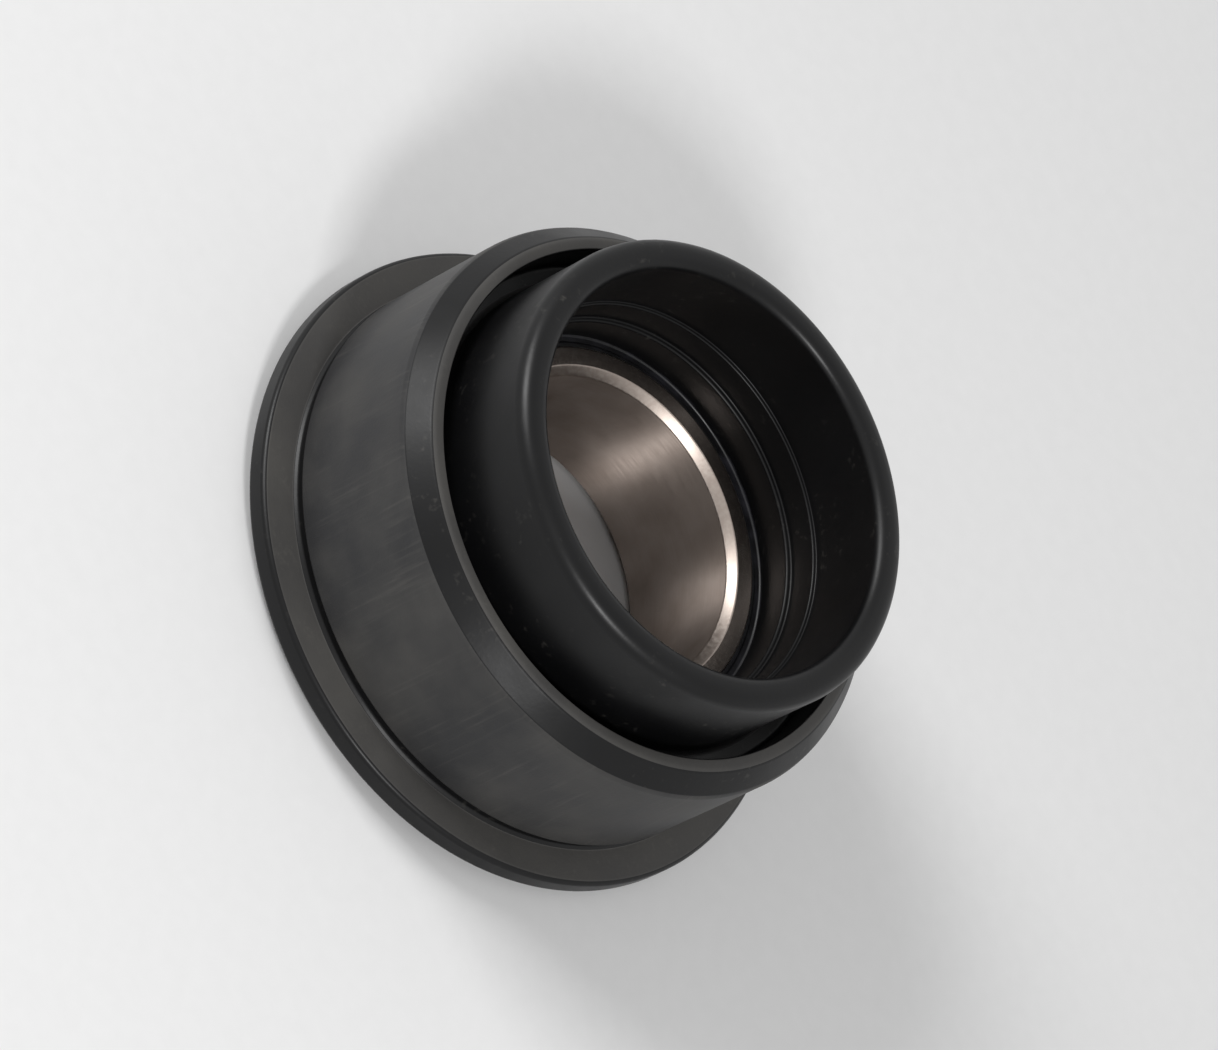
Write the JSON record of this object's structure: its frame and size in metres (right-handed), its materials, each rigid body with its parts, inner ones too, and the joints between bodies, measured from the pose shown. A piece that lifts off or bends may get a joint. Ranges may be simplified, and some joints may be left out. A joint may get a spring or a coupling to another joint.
{
  "type": "press-fit bottom bracket cup",
  "caption": "Press-fit bicycle bottom bracket cup: flanged barrel with a narrow neck, holding a sealed ball bearing whose inner race turns with the crank spindle.",
  "frame": {"origin": "on the bearing axis, at the outboard face of the inner race", "axes": "+Z along the bearing axis, towards the neck and the middle of the frame's shell"},
  "size_m": [0.046, 0.046, 0.0231],
  "materials": {
    "cup_plastic": "satin",
    "race_steel": "ground",
    "ball_steel": "polished",
    "cage_plastic": "matte",
    "seal_rubber": "satin",
    "core_steel": "satin",
    "shield_plastic": "matte",
    "lip_rubber": "matte"
  },
  "bodies": {
    "housing": {"cup_body": "cup_plastic", "outer_race": "race_steel", "inboard_seal": "seal_rubber", "inboard_seal_core": "core_steel", "outboard_seal": "seal_rubber", "outboard_seal_core": "core_steel", "dust_shield": "shield_plastic", "shield_lip": "lip_rubber"},
    "spindle_race": {"inner_race": "race_steel"},
    "ball_train": {"ball_cage": "cage_plastic"},
    "ball_01": {"ball_01": "ball_steel"},
    "ball_02": {"ball_02": "ball_steel"},
    "ball_03": {"ball_03": "ball_steel"},
    "ball_04": {"ball_04": "ball_steel"},
    "ball_05": {"ball_05": "ball_steel"},
    "ball_06": {"ball_06": "ball_steel"},
    "ball_07": {"ball_07": "ball_steel"},
    "ball_08": {"ball_08": "ball_steel"},
    "ball_09": {"ball_09": "ball_steel"},
    "ball_10": {"ball_10": "ball_steel"},
    "ball_11": {"ball_11": "ball_steel"},
    "ball_12": {"ball_12": "ball_steel"},
    "ball_13": {"ball_13": "ball_steel"},
    "ball_14": {"ball_14": "ball_steel"},
    "ball_15": {"ball_15": "ball_steel"}
  },
  "joints": [
    {"name": "inner_race_spin", "type": "hinge", "parent": "housing", "child": "spindle_race", "pos_m": [0, 0, 0.0075], "axis": [0, 0, 1], "continuous": true},
    {"name": "cage_spin", "type": "hinge", "parent": "housing", "child": "ball_train", "pos_m": [0, 0, 0.0075], "axis": [0, 0, 1], "continuous": true},
    {"name": "ball_01_spin", "type": "hinge", "parent": "ball_train", "child": "ball_01", "pos_m": [0.01475, 0, 0.0075], "axis": [0, 0, 1], "continuous": true},
    {"name": "ball_02_spin", "type": "hinge", "parent": "ball_train", "child": "ball_02", "pos_m": [0.01347, 0.006, 0.0075], "axis": [0, 0, 1], "continuous": true},
    {"name": "ball_03_spin", "type": "hinge", "parent": "ball_train", "child": "ball_03", "pos_m": [0.00987, 0.01096, 0.0075], "axis": [0, 0, 1], "continuous": true},
    {"name": "ball_04_spin", "type": "hinge", "parent": "ball_train", "child": "ball_04", "pos_m": [0.00456, 0.01403, 0.0075], "axis": [0, 0, 1], "continuous": true},
    {"name": "ball_05_spin", "type": "hinge", "parent": "ball_train", "child": "ball_05", "pos_m": [-0.00154, 0.01467, 0.0075], "axis": [0, 0, 1], "continuous": true},
    {"name": "ball_06_spin", "type": "hinge", "parent": "ball_train", "child": "ball_06", "pos_m": [-0.00737, 0.01277, 0.0075], "axis": [0, 0, 1], "continuous": true},
    {"name": "ball_07_spin", "type": "hinge", "parent": "ball_train", "child": "ball_07", "pos_m": [-0.01193, 0.00867, 0.0075], "axis": [0, 0, 1], "continuous": true},
    {"name": "ball_08_spin", "type": "hinge", "parent": "ball_train", "child": "ball_08", "pos_m": [-0.01443, 0.00307, 0.0075], "axis": [0, 0, 1], "continuous": true},
    {"name": "ball_09_spin", "type": "hinge", "parent": "ball_train", "child": "ball_09", "pos_m": [-0.01443, -0.00307, 0.0075], "axis": [0, 0, 1], "continuous": true},
    {"name": "ball_10_spin", "type": "hinge", "parent": "ball_train", "child": "ball_10", "pos_m": [-0.01193, -0.00867, 0.0075], "axis": [0, 0, 1], "continuous": true},
    {"name": "ball_11_spin", "type": "hinge", "parent": "ball_train", "child": "ball_11", "pos_m": [-0.00737, -0.01277, 0.0075], "axis": [0, 0, 1], "continuous": true},
    {"name": "ball_12_spin", "type": "hinge", "parent": "ball_train", "child": "ball_12", "pos_m": [-0.00154, -0.01467, 0.0075], "axis": [0, 0, 1], "continuous": true},
    {"name": "ball_13_spin", "type": "hinge", "parent": "ball_train", "child": "ball_13", "pos_m": [0.00456, -0.01403, 0.0075], "axis": [0, 0, 1], "continuous": true},
    {"name": "ball_14_spin", "type": "hinge", "parent": "ball_train", "child": "ball_14", "pos_m": [0.00987, -0.01096, 0.0075], "axis": [0, 0, 1], "continuous": true},
    {"name": "ball_15_spin", "type": "hinge", "parent": "ball_train", "child": "ball_15", "pos_m": [0.01347, -0.006, 0.0075], "axis": [0, 0, 1], "continuous": true}
  ],
  "couplings": [
    {"joint": "cage_spin", "follows": "inner_race_spin", "ratio": 0.43273},
    {"joint": "ball_01_spin", "follows": "inner_race_spin", "ratio": -3.649},
    {"joint": "ball_02_spin", "follows": "inner_race_spin", "ratio": -3.649},
    {"joint": "ball_03_spin", "follows": "inner_race_spin", "ratio": -3.649},
    {"joint": "ball_04_spin", "follows": "inner_race_spin", "ratio": -3.649},
    {"joint": "ball_05_spin", "follows": "inner_race_spin", "ratio": -3.649},
    {"joint": "ball_06_spin", "follows": "inner_race_spin", "ratio": -3.649},
    {"joint": "ball_07_spin", "follows": "inner_race_spin", "ratio": -3.649},
    {"joint": "ball_08_spin", "follows": "inner_race_spin", "ratio": -3.649},
    {"joint": "ball_09_spin", "follows": "inner_race_spin", "ratio": -3.649},
    {"joint": "ball_10_spin", "follows": "inner_race_spin", "ratio": -3.649},
    {"joint": "ball_11_spin", "follows": "inner_race_spin", "ratio": -3.649},
    {"joint": "ball_12_spin", "follows": "inner_race_spin", "ratio": -3.649},
    {"joint": "ball_13_spin", "follows": "inner_race_spin", "ratio": -3.649},
    {"joint": "ball_14_spin", "follows": "inner_race_spin", "ratio": -3.649},
    {"joint": "ball_15_spin", "follows": "inner_race_spin", "ratio": -3.649}
  ]
}
